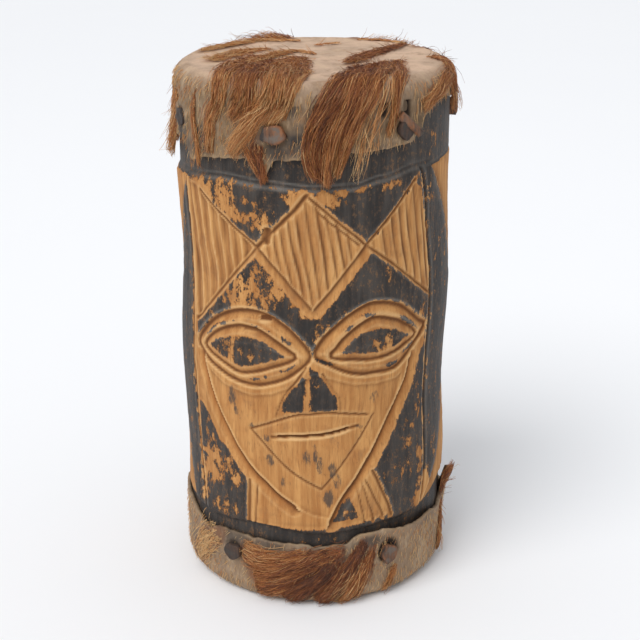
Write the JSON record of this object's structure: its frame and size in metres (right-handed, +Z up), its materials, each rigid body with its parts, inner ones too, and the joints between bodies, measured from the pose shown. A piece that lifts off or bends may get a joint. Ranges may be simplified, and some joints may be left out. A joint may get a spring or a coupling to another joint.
{
  "type": "carved double-headed ritual drum",
  "caption": "Upright hollow wooden drum carved with a mask face and diamond band, closed at both ends by pegged goat hides with hair; stands on its lower hide.",
  "frame": {"origin": "centre of the underside of the lower hide, on the surface the drum stands on", "axes": "+Z up along the drum's axis; -Y out of the carved mask face; +X to the viewer's right"},
  "size_m": [0.1381, 0.1368, 0.2569],
  "materials": {
    "carved_wood": "worn charcoal-black paint over bare tan carved wood",
    "goat_hide": "dry matt rawhide, hair partly left on",
    "peg_wood": "rough cut wood, greyed ends"
  },
  "bodies": {
    "root": {"drum_body": "carved_wood", "top_head": "goat_hide", "bottom_head": "goat_hide", "top_peg_1": "peg_wood", "top_peg_2": "peg_wood", "top_peg_3": "peg_wood", "top_peg_4": "peg_wood", "top_peg_5": "peg_wood", "top_peg_6": "peg_wood", "top_peg_7": "peg_wood", "bottom_peg_1": "peg_wood", "bottom_peg_2": "peg_wood", "bottom_peg_3": "peg_wood", "bottom_peg_4": "peg_wood", "bottom_peg_5": "peg_wood"}
  },
  "joints": []
}
